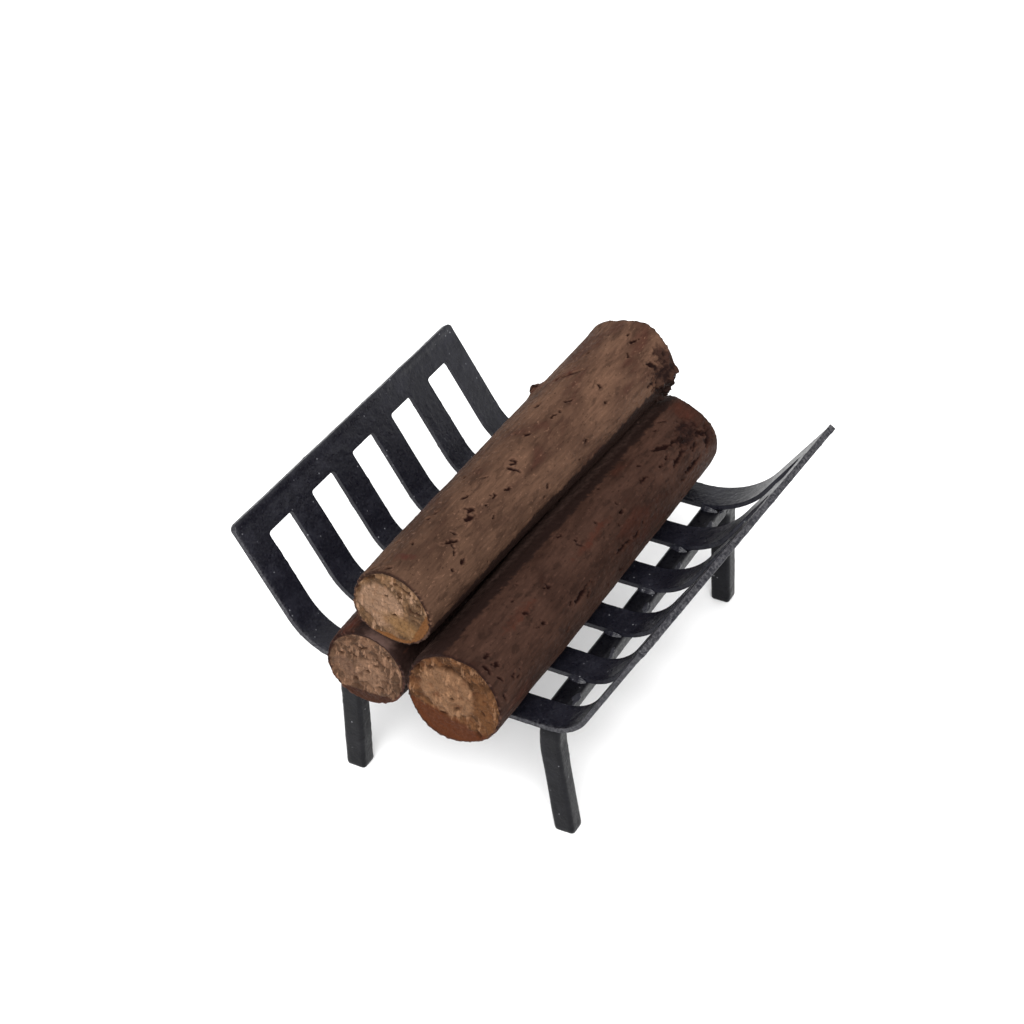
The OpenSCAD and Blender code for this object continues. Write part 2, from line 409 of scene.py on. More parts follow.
def random_marks(rng, log, count):
    """Small pits strewn all over, most of them lying along the grain."""
    return [
        (
            rng.uniform(1, log.length - 1),
            rng.uniform(0, 360),
            rng.uniform(0.2, 0.55),
            rng.uniform(0.1, 0.22),
            rng.normal(0, 30),
        )
        for _ in range(count)
    ]


def swelling(log, along, angle, bumps):
    """How far the log's own lumps stand out, in mm, at each place."""
    high = np.zeros(len(along))
    for at, degrees, wide, height in bumps:
        far = np.hypot(along - at, turn_from(angle, degrees) * log.radius(along)) / wide
        high += height * np.exp(-(far**2) * 1.6)
    return high


def bark_lining(log, along, swell, ragged, around):
    """The sleeve's inner rings, from the far end back: a rim, two plain necks and a rim."""
    rims = []
    for edge in (slice(-around, None), slice(0, around)):
        inner = log.radius(along[edge]) + swell[edge] - BARK_SUNK - BARK_THICK
        inner = inner - 0.1 * smooth(-1, 1, ragged[edge])
        rims.append(log.place(along[edge], full_turn(around), inner))
    below = BARK_THICK + LINING_NECK
    necks = [log.neck(at, below, around) for at in (log.length - NECK, NECK)]
    return [rims[0], *necks, rims[1]]


def make_bark(log, look, others):
    rings = round(log.length / BARK_PITCH)
    around = round(2 * math.pi * log.far_r / BARK_PITCH)
    share, angle = ring_grid(np.linspace(0, 1, rings), full_turn(around))
    start = cut_depth(log.near_r * np.cos(angle), log.near_r * np.sin(angle), look["near_cuts"])
    stop = cut_depth(log.far_r * np.cos(angle), log.far_r * np.sin(angle), look["far_cuts"])
    along = start + share * (log.length - start - stop)
    radius = log.radius(along)
    spots = log.place(along, angle, radius)

    seed = look["seed"]
    rng = np.random.default_rng(seed)
    ragged = lumps(spots, 0.45, seed + 0.1)
    warp = (lumps(spots, 0.9, seed + 0.15), lumps(spots, 0.9, seed + 0.16))
    marks = look["marks"] + random_marks(rng, log, look["pits"])
    pit = bark_marks(log, along, angle, marks, warp, ragged)
    lip = 4 * pit * (1 - pit)
    warm = bark_marks(log, along, angle, look["scars"], warp, ragged)
    torn = bark_marks(log, along, angle, look["torn"], warp, ragged)
    gap = np.min([log.gap_to(other, spots) for other in others], axis=0)
    # Painted shade with glue darkens the bark where another log lies close, in the seam between them.
    near_seam_reach, far_seam_reach = look["shade_glue_and_tears"]
    shadow = near_seam_reach + (far_seam_reach - near_seam_reach) * share
    shade_glue_and_tears = smooth(0.12, -0.12, gap - shadow + 0.25 * ragged + 0.3 * warp[0])

    broad = lumps(spots, (16, 5, 5), seed + 0.2, 2)
    grain = lumps(spots, (4, 0.7, 0.7), seed + 0.3)
    crumbs = lumps(spots, 0.75, seed + 0.4)
    pit = np.maximum(pit, torn * smooth(0.05, -0.35, crumbs))
    from_end = np.minimum(along - start, log.length - stop - along)
    worn = np.exp(-from_end / 0.25) * (0.14 + 0.12 * ragged)
    sunk = BARK_SUNK + 0.12 * broad + 0.045 * grain + 0.035 * crumbs + 0.05 * shade_glue_and_tears * ragged
    sunk = sunk + PIT_DEEP * pit - LIP_HIGH * lip - SCAR_HIGH * warm
    sunk = sunk + torn * (TORN_DEEP - TORN_ROUGH * crumbs) + worn
    sunk = np.clip(sunk, look["proud"] - 0.35 * torn, BARK_THICK + 0.05)
    swell = swelling(log, along, angle, look["bumps"])
    outer = log.place(along, angle, radius + swell - sunk)

    points = np.concatenate([outer, *bark_lining(log, along, swell, ragged, around)])
    crust = np.exp(-from_end / 0.14)
    charred = smooth(-0.3, 0.2, ragged + 0.6 * np.sin(angle))
    pad = np.zeros(4 * around)
    rim_dark = 0.3 + 0.6 * np.concatenate([charred[-around:], pad[: 2 * around], charred[:around]])
    fields = {
        "pit": np.concatenate([np.maximum(pit, 0.8 * crust * charred), rim_dark]),
        "lip": np.concatenate([np.maximum(lip, crust * (1 - charred)), pad + 0.6]),
        "warm": np.concatenate([np.maximum(warm, 0.8 * torn), pad]),
        # The seam's painted shade and glue, and torn bark, share one dark colour.
        "shade_glue_and_tears": np.concatenate([np.maximum(shade_glue_and_tears * 0.93, 0.6 * torn), pad]),
        # Painted light, given as pale glue, lifts the seam's shade right at the contact line.
        "contact_glue_and_light": np.concatenate([smooth(1.1, 0.1, gap + 0.3 * ragged), pad]),
    }
    piece = add_piece(log.body + "_bark_skin", points, ring_faces(rings + 4, around, True), fields)
    finish_piece(piece, log.body, "bark", look["bark"], log.body + "_bark")


def end_grain(log, look, at_near, around):
    """Rings of one snipped end, from the pith out, and the fields its material reads."""
    end = "near" if at_near else "far"
    axis_along = np.full(around, 0.0 if at_near else log.length)
    turn = full_turn(around)
    swell = swelling(log, axis_along, turn, look["bumps"])
    radius = (log.near_r if at_near else log.far_r) + swell - BARK_SUNK - BARK_THICK
    steps = 60
    share, angle = ring_grid(np.linspace(0.01, 1, steps), turn)
    out = share * np.tile(radius, steps)
    y, z = out * np.cos(angle), out * np.sin(angle)
    apart = 0.0 if at_near else 50.0  # gives the two ends of a log different noise
    spots = np.stack([y, z, np.full_like(y, apart)], axis=1)
    seed = look["seed"] + (0.5 if at_near else 0.7)
    torn = lumps(spots, 0.8, seed + 0.1)
    broad = lumps(spots, 3.0, seed + 0.2)
    ragged = lumps(spots, 0.5, seed + 0.4)
    depth = cut_depth(y, z, look[end + "_cuts"])
    facet = smooth(0.0, 0.05, depth + 0.03 * torn)
    blots = np.zeros(len(y))
    for at_y, at_z, long, wide, tilt in look[end + "_blots"]:
        a, b = y - at_y + 0.2 * torn, z - at_z + 0.2 * ragged
        blots = np.maximum(blots, blot(a, b, long, wide, tilt, ragged))
    at_y, at_z, long, wide, tilt = look["amber"]
    amber = blot(y - at_y + 0.4 * broad, z - at_z + 0.4 * torn, long, wide, tilt, 0.7 * broad)
    inside = smooth(1.0, 0.93, share)
    pith_y, pith_z, heart_size = look["heart"]
    from_pith = np.hypot(y - pith_y, z - pith_z) + 0.35 * broad
    groove = np.exp(-(((from_pith - heart_size) / 0.22) ** 2)) * (1 - facet) * smooth(-0.4, 0.5, broad)
    pores = smooth(0.38, 0.6, lumps(spots, 0.4, seed + 0.3))
    rough = 0.24 * torn + 0.18 * broad + 0.08 * ragged
    depth = depth + (0.12 + rough * (1 - 0.7 * facet) + 0.25 * blots + 0.15 * groove) * inside
    rim = smooth(0.955, 0.995, share + 0.03 * torn)
    fields = {
        "ring": groove * inside,
        "heart": smooth(heart_size + 0.3, heart_size - 0.3, from_pith),
        "facet": facet,
        "amber": amber,
        "rim": rim * smooth(-0.35, 0.25, ragged + 0.6 * np.sin(angle)),
        "pit": np.maximum(blots * 0.85, pores * 0.45 * (1 - facet)),
    }
    along = depth if at_near else log.length - depth
    return log.place(along, angle, out), fields


def make_wood(log, look):
    around = 220
    near, near_fields = end_grain(log, look, True, around)
    far, far_fields = end_grain(log, look, False, around)
    below = BARK_THICK + WOOD_NECK
    shaft = [log.neck(at, below, around) for at in (NECK, log.length - NECK)]
    order = np.arange(len(far)).reshape(-1, around)[::-1].ravel()
    points = np.concatenate([near, *shaft, far[order]])
    faces = capped_faces(len(points) // around, around)
    hidden = np.zeros(2 * around)
    fields = {
        name: np.concatenate([near_values, hidden, far_fields[name][order]])
        for name, near_values in near_fields.items()
    }
    piece = add_piece(log.body + "_cut_wood", points, faces, fields)
    finish_piece(piece, log.body, "cut_wood", look["wood"], log.body + "_wood")


logs = {body: Log(body) for body in ("front_log", "rear_log", "top_log")}

# Bark marks, scars and torn patches are (mm from the near end, degrees from +Y
# towards +Z, half length, half width, turn from the grain in degrees); blots on
# an end are (Y and Z from its middle, half length, half width, turn); cuts are
# (direction, mm from the middle where the cut starts, slope); bumps end in
# width and height; heart is the pith's place and the size of the paler middle;
# amber is one more blot; pits is how many small ones are strewn; the seam pair is
# how far out from another log's bark, near and far, painted shade and glue reach;
# proud is how far, as a negative depth, lumps may stand out of the CAD surface.
looks = {
    "top_log": {
        "seed": 3,
        "bark": bark_material(
            "bark_weathered",
            light=(0.081, 0.0432, 0.0276),
            dark=(0.047, 0.0242, 0.016),
            stained=(0.040, 0.0132, 0.0095),
            tones=(0.77, 1.15),
        ),
        "wood": cut_wood_material(
            "cut_wood_pale",
            pale=(0.161, 0.0964, 0.0613),
            tan=(0.109, 0.0603, 0.0316),
            facet=(0.103, 0.0416, 0.0134),
            amber=(0.121, 0.0649, 0.0268),
        ),
        "marks": [
            (8.3, 121, 1.2, 0.3, 25), (8.0, 128, 1.0, 0.26, -50), (9.4, 117, 0.4, 0.25, 0),
            (12.6, 118, 1.0, 0.4, 15), (13.7, 111, 0.8, 0.34, 40), (22.4, 114, 1.0, 0.3, 70),
            (23.6, 109, 0.8, 0.26, -30), (6.0, 150, 0.6, 0.2, 50), (15.0, 93, 0.4, 0.2, 0),
            (10.0, 74, 0.4, 0.25, 0), (25.1, 164, 0.4, 0.3, 0), (28.1, 96, 0.6, 0.2, 10),
            (36.3, 105, 0.5, 0.2, 20), (32.9, 105, 0.6, 0.2, 0), (33.9, 76, 0.6, 0.2, 0),
            (34.1, 157, 0.4, 0.25, 0), (45.9, 77, 0.5, 0.2, 0), (51.2, 114, 0.7, 0.2, 10),
            (48.6, 121, 0.5, 0.2, -20), (41.3, 121, 0.5, 0.3, 0), (17.3, 119, 0.4, 0.16, 0),
            (41.4, 84, 1.6, 0.22, 35), (39.9, 68, 1.2, 0.2, 10), (50.6, 150, 1.0, 0.4, 40),
            (51.8, 166, 1.2, 0.4, -20), (0.9, 84, 0.6, 0.3, 80), (0.6, 62, 0.8, 0.2, 80),
            (49.4, 170, 0.9, 0.3, 10),
        ],
        "scars": [(40.6, 74, 1.9, 0.7, 25), (39.3, 40, 1.4, 1.2, 0), (3.0, 88, 1.6, 0.5, 60)],
        "torn": [(52.4, 175, 2.6, 2.4, 0), (53.0, 205, 1.8, 2.2, 0), (53.0, 150, 1.1, 1.2, 0)],
        "bumps": [
            (39.3, 34, 1.7, 0.25), (53.4, 178, 2.3, 1.0), (0.0, 332, 3.0, 0.45), (54.0, 50, 2.0, 0.2),
            (54.0, 118, 2.6, 0.4), (54.0, 150, 1.7, 0.3), (53.8, 214, 2.2, 0.4),
        ],
        "pits": 45,
        "shade_glue_and_tears": (2.1, 4.3),
        "near_cuts": [(272, 3.8, 14), (207, 3.5, 15)],
        "far_cuts": [(60, 3.8, 22), (200, 4.6, 20)],
        "near_blots": [
            (-1.8, 2.85, 0.8, 0.28, 20), (0.55, 1.5, 0.55, 0.12, -30), (-1.0, 1.8, 0.45, 0.14, 20),
            (-3.1, 0.25, 0.5, 0.22, 0), (-0.25, -0.9, 0.3, 0.18, 0), (2.5, 3.3, 0.9, 0.22, -35),
            (-2.3, 0.5, 0.5, 0.3, 30), (-0.6, 3.4, 0.35, 0.2, 0), (-3.3, 1.6, 0.4, 0.15, 70),
        ],
        "far_blots": [(1.2, 1.5, 0.9, 0.25, 40), (-2.0, -1.0, 0.7, 0.2, -20), (0.5, -2.6, 0.5, 0.3, 0)],
        "heart": (1.6, -0.2, 2.9),
        "amber": (-1.4, -2.3, 2.6, 1.3, 20),
        "proud": -0.12,
    },
    "front_log": {
        "seed": 8,
        "bark": bark_material(
            "bark_red_brown",
            light=(0.0394, 0.0193, 0.0135),
            dark=(0.0221, 0.0106, 0.0075),
            stained=(0.041, 0.0129, 0.008),
            tones=(0.9, 1.1),
        ),
        "wood": cut_wood_material(
            "cut_wood_amber",
            pale=(0.125, 0.0664, 0.0358),
            tan=(0.0815, 0.0357, 0.015),
            facet=(0.0499, 0.0134, 0.0043),
            amber=(0.0707, 0.0298, 0.0116),
        ),
        "marks": [
            (30.6, 161, 2.2, 0.25, 5), (20.0, 158, 2.4, 0.25, -4), (33.9, 166, 1.2, 0.25, 0),
            (29.3, 116, 0.4, 0.3, 0), (24.6, 117, 0.5, 0.16, 60), (33.6, 131, 0.6, 0.18, 0),
            (16.3, 121, 0.6, 0.2, 0), (17.4, 154, 0.5, 0.25, 0), (12.2, 143, 0.6, 0.2, 0),
            (3.8, 158, 0.4, 0.3, 0), (11.3, 101, 0.4, 0.25, 0), (50.7, 133, 2.0, 0.5, 30),
            (46.5, 117, 1.3, 0.38, 20), (47.7, 142, 1.7, 0.38, -10), (53.9, 142, 1.4, 0.45, 40),
            (49.6, 165, 2.2, 0.34, 0), (40.5, 127, 0.9, 0.2, 0), (44.0, 131, 0.6, 0.2, 0),
            (54.2, 159, 1.2, 0.42, -30), (52.0, 120, 0.8, 0.3, 0), (2.7, 134, 0.6, 0.35, 40),
            (2.4, 118, 0.7, 0.3, 0), (1.0, 128, 0.8, 0.3, 80), (2.0, 148, 0.6, 0.3, 60),
            (1.3, 166, 0.5, 0.3, 70), (49.0, 125, 1.5, 0.25, 15), (51.5, 150, 1.3, 0.25, -15),
        ],
        "scars": [(54.5, 108, 1.2, 1.8, 0), (27.0, 124, 4.0, 0.5, 0), (10.0, 118, 3.0, 0.6, 0)],
        "torn": [(51.8, 132, 2.6, 1.6, 0), (55.6, 150, 0.8, 1.2, 0)],
        "bumps": [(55.6, 92, 1.6, 0.3), (0.5, 118, 2.0, 0.25), (0.0, 296, 4.6, 0.7)],
        "pits": 70,
        "shade_glue_and_tears": (2.5, 1.4),
        "near_cuts": [(285, 2.6, 5)],
        "far_cuts": [(120, 4.6, 20), (250, 3.6, 14)],
        "near_blots": [
            (0.85, 3.8, 0.8, 0.35, -10), (2.75, 3.25, 0.35, 0.25, 0), (4.6, 2.8, 0.4, 0.3, 0),
            (-1.74, 2.4, 0.6, 0.16, 80), (1.43, 0.06, 0.25, 0.15, 0), (0.23, -0.17, 0.3, 0.16, 30),
            (-0.15, -1.5, 0.3, 0.2, 0), (-3.6, -0.8, 0.4, 0.2, 60), (1.54, -2.64, 0.4, 0.2, 0),
            (-2.9, -4.0, 0.6, 0.25, 70), (-2.3, 5.0, 0.5, 0.16, 30), (-4.4, 3.0, 0.5, 0.25, 60),
        ],
        "far_blots": [(-1.0, 2.0, 0.9, 0.25, 40), (2.0, 0.0, 0.6, 0.2, 0), (0.0, -2.5, 0.8, 0.2, 70)],
        "heart": (0.8, 0.4, 3.3),
        "amber": (-3.6, -0.6, 3.4, 1.2, 80),
        "proud": -0.05,
    },
    "rear_log": {
        "seed": 12,
        "bark": bark_material(
            "bark_dark",
            light=(0.044, 0.019, 0.013),
            dark=(0.025, 0.010, 0.007),
            stained=(0.040, 0.011, 0.007),
            tones=(1.0, 1.0),
        ),
        "wood": cut_wood_material(
            "cut_wood_pinkish",
            pale=(0.132, 0.0747, 0.0463),
            tan=(0.102, 0.0549, 0.0327),
            facet=(0.0227, 0.0072, 0.0038),
            amber=(0.0851, 0.0473, 0.0308),
        ),
        "marks": [
            (12, 60, 1.6, 0.25, 0), (26, 30, 1.2, 0.25, 10), (41, 75, 1.4, 0.3, -10),
            (50, 20, 2.0, 0.25, 0),
        ],
        "scars": [(34, 45, 3.0, 1.2, 0), (1.5, 60, 1.2, 1.5, 0)],
        "torn": [(55, 60, 1.4, 2.2, 0)],
        "bumps": [(0.0, 345, 2.2, 0.15), (0.0, 285, 3.4, 0.4)],
        "pits": 70,
        "shade_glue_and_tears": (1.8, 1.8),
        "near_cuts": [(270, 3.3, 13)],
        "far_cuts": [(300, 3.4, 18)],
        "near_blots": [
            (1.65, 1.26, 0.4, 0.2, 30), (-1.16, 0.67, 0.45, 0.25, 0), (-2.7, 2.43, 0.35, 0.2, 30),
            (0.0, -0.56, 0.3, 0.18, 0), (1.55, -1.94, 0.4, 0.2, 20), (-1.65, -2.39, 0.4, 0.18, 0),
            (0.4, 2.6, 0.6, 0.18, -20), (3.2, 1.0, 0.3, 0.2, 0),
        ],
        "far_blots": [(1.0, 1.0, 0.7, 0.2, 10), (-1.5, -1.2, 0.6, 0.25, 50)],
        "heart": (-0.3, -0.6, 2.0),
        "amber": (2.6, -0.5, 1.6, 1.0, 60),
        "proud": -0.05,
    },
}

for body, log in logs.items():
    others = [other for name, other in logs.items() if name != body]
    make_bark(log, looks[body], others)
    make_wood(log, looks[body])


def make_stub(log, look, at=39.3, degrees=34, radius=0.8, out=0.5):
    """The snapped branch on the top log, lumpy and rounded off."""
    around, rings = 28, 14
    root_deep = 1.2
    oval = 1.6  # how much longer the stub is along the grain than across it
    here, turn = np.array([at]), np.array([math.radians(degrees)])
    middle = log.place(here, turn, log.radius(here))[0]
    root = log.place(here, np.array([0.0]), np.array([0.0]))[0]
    up = unit(middle - root)
    across = log.axis
    side = np.cross(up, across)
    share, angle = ring_grid(np.linspace(0, 1, rings), full_turn(around))
    dome = smooth(0.45, 1.0, share)
    wide = radius * (1.25 - 0.35 * smooth(0, 0.5, share)) * np.sqrt(1.02 - dome**2)
    high = -root_deep + (root_deep + out) * (share + 0.12 * dome)
    ring = across * np.cos(angle)[:, None] * oval + side * np.sin(angle)[:, None]
    points = middle + up * high[:, None] + ring * wide[:, None]
    knobs = lumps(points, 0.6, look["seed"] + 0.9)
    points = points + ring * (0.16 * knobs)[:, None]
    faces = capped_faces(rings, around)
    fields = {
        "warm": np.full(len(points), 0.8),
        "pit": smooth(-0.2, 0.5, knobs),
        "lip": smooth(-0.3, -0.6, knobs),
        "shade_glue_and_tears": np.zeros(len(points)),
        "contact_glue_and_light": np.zeros(len(points)),
    }
    piece = add_piece("top_log_branch_stub", points, faces, fields)
    finish_piece(piece, "top_log", "cut_wood", look["bark"], "top_log_wood")


make_stub(logs["top_log"], looks["top_log"])


# ---- Grate: shared sizes ----

grate_low, grate_high = box_mm("basket")
SHEET = 0.6
FLOOR = grate_low[2]
FRONT_SLOPE, REAR_SLOPE = 58.5, 57.0
FRONT_ROUND, REAR_ROUND = 3.5, 8.0
FRONT_REACH, REAR_REACH = 16.7, 17.1
STEEPER_AT_NEAR = 2.2  # degrees by which the front side's near end is steeper
FRONT_TWIST = 6.4  # degrees by which its far end is flatter than its near end
ROUNDER_AT_NEAR, ROUNDER_TO_FAR, ROUND_CURVE = 1.5, 7.0, 1.6  # how its bend softens
BARS = 6
BAR_WIDE = 4.2
RAIL = 3.4
SHEET_CORNER, SLOT_CORNER = 0.9, 0.45
EDGE_ROUND = 0.13
BEAD = 0.13  # how far the paint swells along the two long edges
mid_x = (grate_low[0] + grate_high[0]) / 2
front_fold = grate_low[1] + FRONT_REACH * math.cos(math.radians(FRONT_SLOPE))
rear_fold = grate_high[1] - REAR_REACH * math.cos(math.radians(REAR_SLOPE))
length = grate_high[0] - grate_low[0]
slot_wide = (length - BARS * BAR_WIDE) / (BARS - 1)

blue_black = paint_material(
    "blue_black_paint",
    dark=(0.004, 0.004, 0.007),
    light=(0.0095, 0.0095, 0.014),
    rubbed_and_highlight=(0.065, 0.063, 0.068),
    shine=0.24,
    relief=0.11,
)
leg_paint = paint_material(
    "leg_paint",
    dark=(0.0015, 0.0015, 0.0025),
    light=(0.0035, 0.0035, 0.005),
    rubbed_and_highlight=(0.006, 0.006, 0.008),
    shine=0.13,
    relief=0.05,
)
solder_paint = paint_material(
    "painted_solder",
    dark=(0.006, 0.006, 0.010),
    light=(0.009, 0.009, 0.013),
    rubbed_and_highlight=(0.015, 0.015, 0.02),
    shine=0.3,
    relief=0.09,
)


# ---- Basket, cut flat and then folded ----


def side_path(fold, slope, fold_round, reach):
    """Lengths of the level, bent and straight stretches of one side, at mid-thickness."""
    outside = fold_round + SHEET
    start = outside * np.tan(slope / 2)
    return fold - start, (fold_round + SHEET / 2) * slope, reach - start


def fold_side(s, t, fold, slope, fold_round, reach):
    """Distance out and height of one side's points; s runs outwards, t up through the sheet."""
    level, bent, _ = side_path(fold, slope, fold_round, reach)
    mid_round = fold_round + SHEET / 2
    turn = np.clip((s - level) / mid_round, 0, slope)
    beyond = np.maximum(s - level - bent, 0)
    out = np.minimum(s, level) + mid_round * np.sin(turn) + beyond * np.cos(slope) - t * np.sin(turn)
    high = mid_round * (1 - np.cos(turn)) + beyond * np.sin(slope) + t * np.cos(turn)
    return out, high


def fold_sheet(flat):
    """Bends the flat cut-out: x stays, s runs front to back, and the front side is twisted."""
    x, s, t = flat.T
    share = np.clip((x - grate_low[0]) / length, 0, 1)
    slope = np.radians(FRONT_SLOPE + STEEPER_AT_NEAR - FRONT_TWIST * share)
    bend = FRONT_ROUND + ROUNDER_AT_NEAR + ROUNDER_TO_FAR * share**ROUND_CURVE
    front_out, front_high = fold_side(-s, t, -front_fold, slope, bend, FRONT_REACH)
    rear_out, rear_high = fold_side(s, t, rear_fold, math.radians(REAR_SLOPE), REAR_ROUND, REAR_REACH)
    y = np.where(s < 0, -front_out, rear_out)
    z = np.where(s < 0, front_high, rear_high) + FLOOR + SHEET / 2
    return np.stack([x, y, z], axis=1)


def even_stops(edges, pitch):
    """Grid lines through every edge, with even steps of about pitch between them."""
    stops = [edges[0]]
    for a, b in zip(edges, edges[1:]):
        steps = max(1, round((b - a) / pitch))
        stops += [a + (b - a) * i / steps for i in range(1, steps + 1)]
    return stops


def round_corner(point, corner, inward, radius):
    """Moves a point in a corner onto the arc that rounds it."""
    a = (point[0] - corner[0]) * inward[0]
    b = (point[1] - corner[1]) * inward[1]
    slack = 1e-6
    if not (-slack <= a <= radius and -slack <= b <= radius):
        return point
    away = math.hypot(a - radius, b - radius)
    if away <= radius:
        return point
    scale = radius / away
    a, b = radius + (a - radius) * scale, radius + (b - radius) * scale
    return corner[0] + inward[0] * a, corner[1] + inward[1] * b


def sheet_corners(bar_starts, s_edges):
    """The rounded corners of the cut-out: each one's place, its way inward and its radius."""
    corners = []
    for x, inward_x in ((grate_low[0], 1), (grate_high[0], -1)):
        for s, inward_s in ((s_edges[0], 1), (s_edges[-1], -1)):
            corners.append(((x, s), (inward_x, inward_s), SHEET_CORNER))
    for start in bar_starts[:-1]:
        left, right = start + BAR_WIDE, start + BAR_WIDE + slot_wide
        for s, inward in ((s_edges[1], 1), (s_edges[-2], -1)):
            corners.append(((left, s), (1, inward), SLOT_CORNER))
            corners.append(((right, s), (-1, inward), SLOT_CORNER))
    return corners


def flat_sheet(pitch=0.27):
    """The cut-out before folding: six bars joined by a rail at each end."""
    front_len = sum(side_path(-front_fold, math.radians(FRONT_SLOPE), FRONT_ROUND, FRONT_REACH))
    rear_len = sum(side_path(rear_fold, math.radians(REAR_SLOPE), REAR_ROUND, REAR_REACH))
    bar_starts = [grate_low[0] + i * (BAR_WIDE + slot_wide) for i in range(BARS)]
    x_edges = [edge for start in bar_starts for edge in (start, start + BAR_WIDE)]
    s_edges = [-front_len, -front_len + RAIL, 0, rear_len - RAIL, rear_len]
    xs, ss = even_stops(x_edges, pitch), even_stops(s_edges, pitch)
    corners = sheet_corners(bar_starts, s_edges)
    bm = bmesh.new()
    made = {}

    def vertex(i, j):
        if (i, j) not in made:
            point = (xs[i], ss[j])
            for corner in corners:
                point = round_corner(point, *corner)
            made[i, j] = bm.verts.new((*point, 0))
        return made[i, j]

    for i in range(len(xs) - 1):
        x = (xs[i] + xs[i + 1]) / 2
        in_bar = any(start < x < start + BAR_WIDE for start in bar_starts)
        for j in range(len(ss) - 1):
            s = (ss[j] + ss[j + 1]) / 2
            if in_bar or s < s_edges[1] or s > s_edges[3]:
                square = ((i, j), (i + 1, j), (i + 1, j + 1), (i, j + 1))
                bm.faces.new([vertex(*corner) for corner in square])
    mesh = bpy.data.meshes.new("flat_sheet")
    bm.to_mesh(mesh)
    bm.free()
    return mesh


def thicken(mesh, thick, edge):
    """Points and faces of a flat mesh given a thickness and rounded edges."""
    flat = bpy.data.objects.new("flat", mesh)
    bpy.context.scene.collection.objects.link(flat)
    solidify = flat.modifiers.new("thickness", "SOLIDIFY")
    solidify.thickness = thick
    solidify.offset = 0
    bevel = flat.modifiers.new("edges", "BEVEL")
    bevel.width = edge
    bevel.segments = 3
    bevel.limit_method = "ANGLE"
    bevel.angle_limit = math.radians(60)
    done = flat.evaluated_get(bpy.context.evaluated_depsgraph_get()).to_mesh()
    points = np.array([v.co for v in done.vertices])
    faces = [tuple(p.vertices) for p in done.polygons]
    bpy.data.objects.remove(flat)
    return points, faces


def outward(points, faces):
    """Vertex normals of a mesh given as points and faces."""
    mesh = bpy.data.meshes.new("normals")
    mesh.from_pydata(points.tolist(), [], faces)
    normals = np.array([v.vector for v in mesh.vertex_normals])
    bpy.data.meshes.remove(mesh)
    return normals


def make_basket():
    flat, faces = thicken(flat_sheet(), SHEET, EDGE_ROUND)
    from_near = flat[:, 0] - flat[:, 0].min()
    from_front = flat[:, 1] - flat[:, 1].min()
    from_rear = flat[:, 1].max() - flat[:, 1]
    edge = 0.4 * smooth(0.02, 0.16, SHEET / 2 - abs(flat[:, 2]))
    # The front side's outer top edge and the near end's edges get painted highlight as well as rubbed
    # edges.
    edge += smooth(0.4, 0.1, from_front) + 0.6 * smooth(0.4, 0.1, from_near)
    points = fold_sheet(flat)
    normals = outward(points, faces)
    waves = lumps(points, 7, 21, 2)
    blobs = smooth(0.25, 0.7, lumps(points, 0.9, 22))
    bead = BEAD * smooth(1.0, 0.3, np.minimum(from_front, from_rear))
    points = points + normals * (0.03 * waves + 0.05 * blobs - 0.03 + bead)[:, None]
    points[:, 2] += 0.05 * waves
    piece = add_piece("basket_painted_sheet", points, faces, {"edge": edge})
    finish_piece(piece, "grate", "grate_paint", blue_black, "basket")


make_basket()


# ---- Leg bars, bent from square bar ----

LEG_THICK, LEG_DEEP, LEG_EDGE = 2.1, 2.4, 0.38
PAINT = 0.1  # how far the legs' thick paint and lumps stand out from the bare bar
LEG_BEND = 3.1
KNEE_HIGH, KNEE_ROUND = 13.0, 12.0
FOOT_HIGH = 0.12  # where a foot starts to round off
FOOT_SHARE, SOLE_SHARE = 0.97, 0.84  # how wide the foot is there, and on the floor


def leg_route(low, high, near_lean, far_lean, pitch=0.3):
    """The middle line of a bent bar from foot to foot; a leaning leg leans below its knee."""
    y = high[1] - LEG_DEEP / 2
    top = high[2] - LEG_THICK / 2
    bend = LEG_BEND - LEG_THICK / 2

    def half(side, x, lean):
        """From the middle of the strap to one foot."""
        lean = math.radians(lean)
        route = [(s, y, top) for s in np.arange(mid_x, x - side * bend, side * pitch)]
        for turn in np.linspace(0, math.pi / 2, 14):
            out, down = side * bend * (math.sin(turn) - 1), bend * (math.cos(turn) - 1)
            route.append((x + out, y, top + down))
        route += [(x, y, z) for z in np.arange(top - bend - pitch, KNEE_HIGH, -pitch)]
        if lean == 0:
            route += [(x, y, z) for z in np.arange(KNEE_HIGH, 0, -pitch)]
            return route + [(x, y, 0.0)]
        for turn in np.linspace(0, lean, 7):
            forward, down = KNEE_ROUND * (1 - math.cos(turn)), KNEE_ROUND * math.sin(turn)
            route.append((x, y - forward, KNEE_HIGH - down))
        _, knee_y, knee_z = route[-1]
        for z in list(np.arange(knee_z - pitch, 0, -pitch)) + [0.0]:
            route.append((x, knee_y - (knee_z - z) * math.tan(lean), z))
        return route

    near = half(-1, low[0] + LEG_THICK / 2, near_lean)
    far = half(1, high[0] - LEG_THICK / 2, far_lean)
    return np.array(near[::-1] + far[1:])


